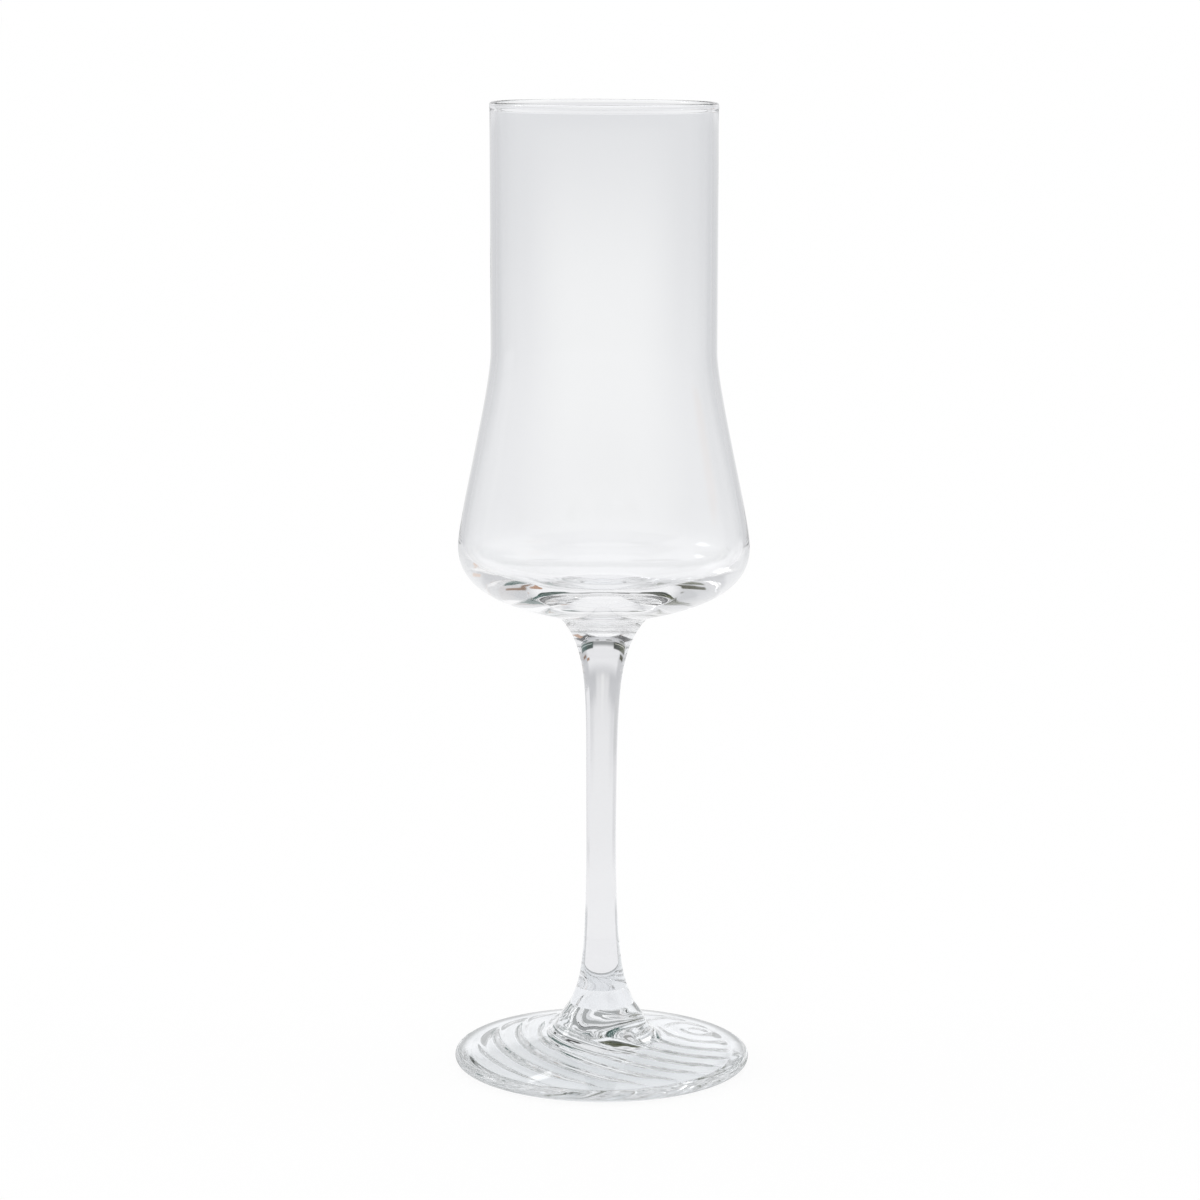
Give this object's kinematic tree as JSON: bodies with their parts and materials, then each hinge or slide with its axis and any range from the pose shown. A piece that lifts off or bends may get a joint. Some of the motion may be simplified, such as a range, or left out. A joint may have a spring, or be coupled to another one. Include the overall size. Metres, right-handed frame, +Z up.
{
  "type": "grappa glass",
  "caption": "Clear stemmed grappa glass: straight chimney mouth over a belled, flat-bottomed bowl, slender drawn stem and round foot with off-centre ripples pressed underneath.",
  "frame": {"origin": "centre of the ring that the foot stands on, on the glass's axis", "axes": "+Z up along the axis of the glass, foot to lip; +X to the right and +Y away from the viewer in the picture, with the ripples' centre at the right rear"},
  "size_m": [0.0616, 0.0616, 0.2],
  "materials": {
    "bowl_glass": "fire-polished clear glass",
    "stem_glass": "fire-polished clear glass",
    "foot_glass": "clear glass, polished above, ripple-pressed underneath"
  },
  "bodies": {
    "root": {"bowl": "bowl_glass", "stem": "stem_glass", "foot": "foot_glass"}
  },
  "joints": []
}
